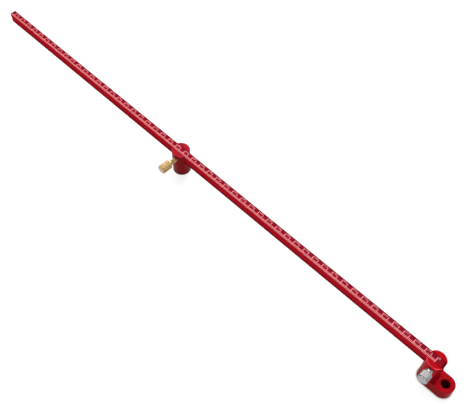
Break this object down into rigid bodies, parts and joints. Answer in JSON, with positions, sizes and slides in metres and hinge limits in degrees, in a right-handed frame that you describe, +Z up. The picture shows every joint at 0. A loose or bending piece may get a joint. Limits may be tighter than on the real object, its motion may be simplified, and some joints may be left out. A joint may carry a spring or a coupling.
{
  "type": "carpenters compass",
  "caption": "Beam compass: a slim graduated bar carrying a round end head with a low pencil ear and a sliding round body on a steel point, each clamped by a knurled thumb screw.",
  "frame": {"origin": "on the head's axis, where the bar's scale has its zero, in the plane the tool stands on", "axes": "+X along the bar from the slider towards the head and its ear, -Y the side of the thumb screws, +Z up"},
  "size_m": [0.5474, 0.0329, 0.0333],
  "materials": {
    "red_anodised": "satin red anodised",
    "red_anodised_beam": "satin red anodised, with a pale engraved scale",
    "turned_brass": "turned and knurled",
    "bright_aluminium": "turned and knurled, bright",
    "hardened_steel": "ground and hardened",
    "blackened_steel": "blackened",
    "white_nylon": "moulded",
    "black_nylon": "moulded"
  },
  "bodies": {
    "head": {"head_body": "red_anodised"},
    "beam": {"beam": "red_anodised_beam", "beam_stop_pin": "blackened_steel"},
    "slider": {"slider_body": "red_anodised", "pivot_needle": "hardened_steel", "needle_set_screw": "blackened_steel"},
    "head_pad": {"head_clamp_pad": "white_nylon"},
    "head_screw": {"head_clamp_knob": "bright_aluminium", "head_clamp_stud": "bright_aluminium"},
    "slider_pad": {"slider_clamp_pad": "white_nylon"},
    "slider_screw": {"slider_clamp_knob": "turned_brass", "slider_clamp_stud": "turned_brass"},
    "grip_tip": {"pencil_grip_tip": "black_nylon"},
    "grip_screw": {"pencil_grip_screw": "blackened_steel"}
  },
  "joints": [
    {"name": "beam_slide", "type": "slide", "parent": "head", "child": "beam", "axis": [-1, 0, 0], "range_m": [-0.2583, 0.0019]},
    {"name": "slider_slide", "type": "slide", "parent": "beam", "child": "slider", "axis": [1, 0, 0], "range_m": [-0.2399, 0.2583]},
    {"name": "head_pad_slide", "type": "slide", "parent": "head", "child": "head_pad", "axis": [0, 1, 0], "range_m": [-0.0006, 0.00025]},
    {"name": "head_screw_turn", "type": "hinge", "parent": "head_pad", "child": "head_screw", "pos_m": [0.0008, -0.0142, 0.02677], "axis": [0, 1, 0], "range_deg": [-311.7, 129.9]},
    {"name": "slider_pad_slide", "type": "slide", "parent": "slider", "child": "slider_pad", "axis": [0, 1, 0], "range_m": [-0.00005, 0.00085]},
    {"name": "slider_screw_turn", "type": "hinge", "parent": "slider_pad", "child": "slider_screw", "pos_m": [-0.2738, -0.0195, 0.02677], "axis": [0, 1, 0], "range_deg": [-26, 441.5]},
    {"name": "grip_tip_slide", "type": "slide", "parent": "head", "child": "grip_tip", "axis": [0, -1, 0], "range_m": [-0.0001, 0.0009]},
    {"name": "grip_screw_turn", "type": "hinge", "parent": "grip_tip", "child": "grip_screw", "pos_m": [0.0143, 0.0062, 0.0054], "axis": [0, -1, 0], "range_deg": [-72.7, 654.5]}
  ],
  "couplings": [
    {"joint": "head_screw_turn", "follows": "head_pad_slide", "rad_per_m": 8976},
    {"joint": "slider_screw_turn", "follows": "slider_pad_slide", "rad_per_m": 8976},
    {"joint": "grip_screw_turn", "follows": "grip_tip_slide", "rad_per_m": 12566}
  ]
}
